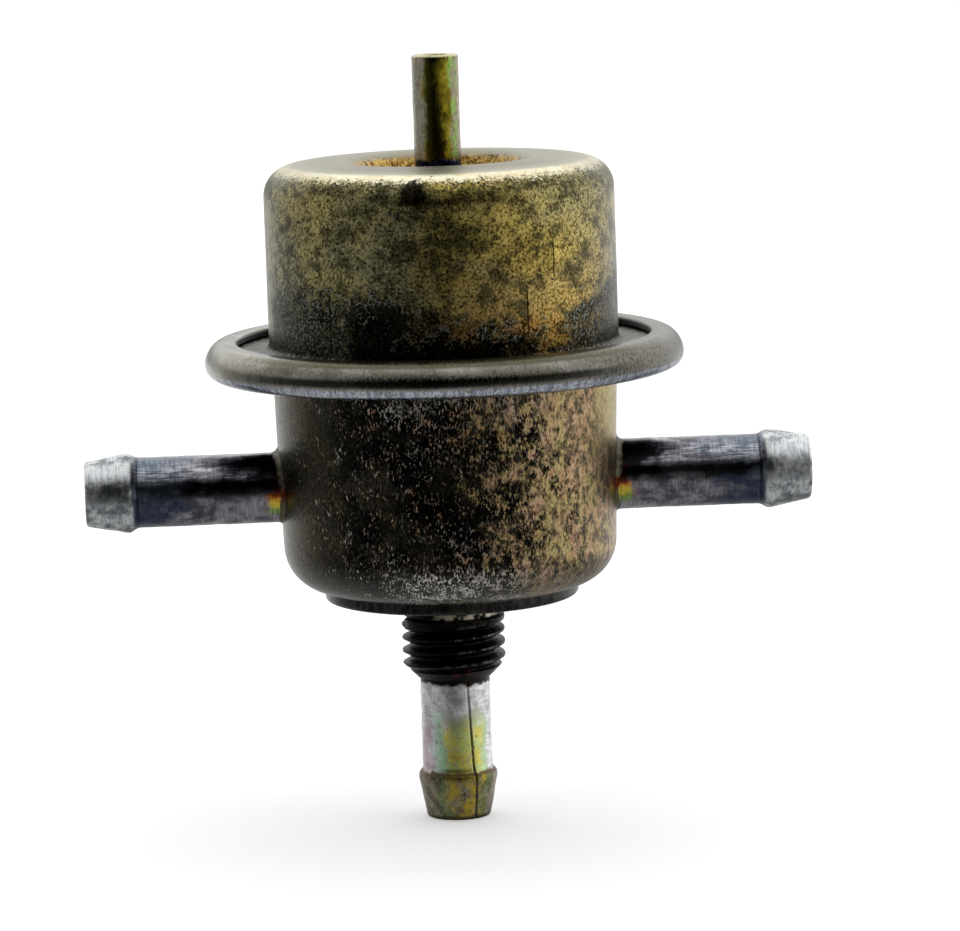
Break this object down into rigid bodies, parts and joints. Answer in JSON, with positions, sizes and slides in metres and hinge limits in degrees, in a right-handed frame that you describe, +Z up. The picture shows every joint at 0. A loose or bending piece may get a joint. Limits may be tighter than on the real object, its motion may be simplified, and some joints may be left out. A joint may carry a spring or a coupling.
{
  "type": "diaphragm pressure regulator",
  "caption": "In-line diaphragm pressure regulator: two crimped steel cans, side hose barbs, a threaded mounting sleeve round a return barb, and a vacuum nipple.",
  "frame": {"origin": "centre of the bracket seat, the flat ring under the fluid housing, on the regulator's axis", "axes": "+Z up the axis towards the vacuum nipple, +X along the right hose port"},
  "size_m": [0.0828, 0.0544, 0.0876],
  "materials": {
    "spring_can": "worn yellow-passivated zinc, satin",
    "fluid_can": "worn zinc with black and copper patches, satin",
    "nipple_steel": "olive passivated steel, satin",
    "port_steel": "heat-darkened steel, brushed",
    "return_steel": "bright zinc with yellow tint, satin",
    "sleeve_steel": "blackened steel, oily",
    "braze": "dull filler metal",
    "seat_brass": "turned",
    "valve_steel": "turned, bright",
    "plate_steel": "pressed, zinc plated",
    "spring_steel": "drawn wire, oiled",
    "diaphragm_rubber": "fabric-reinforced rubber, matt"
  },
  "bodies": {
    "housing": {"spring_housing": "spring_can", "vacuum_nipple": "nipple_steel", "nipple_braze": "braze", "fluid_housing": "fluid_can", "left_port": "port_steel", "right_port": "port_steel", "left_port_braze": "braze", "right_port_braze": "braze", "threaded_sleeve": "sleeve_steel", "sleeve_braze": "braze", "return_tube": "return_steel", "return_tube_braze": "braze", "valve_seat": "seat_brass", "diaphragm": "diaphragm_rubber", "main_spring": "spring_steel", "spring_seat": "plate_steel"},
    "valve": {"ball_retainer": "valve_steel", "ball_spring": "spring_steel", "valve_holder": "seat_brass", "clamp_plate": "plate_steel", "spring_cup": "plate_steel"},
    "plate": {"valve_plate": "valve_steel", "valve_ball": "valve_steel"}
  },
  "joints": [
    {"name": "valve_lift", "type": "slide", "parent": "housing", "child": "valve", "axis": [0, 0, 1], "range_m": [0, 0.001], "stiffness_N_per_m": 400, "springref_m": -0.001, "deforming": ["main_spring", "diaphragm"]},
    {"name": "plate_tilt", "type": "hinge", "parent": "valve", "child": "plate", "pos_m": [0, 0, 0.0218], "axis": [0, 1, 0], "range_deg": [-1.5, 1.5]}
  ]
}
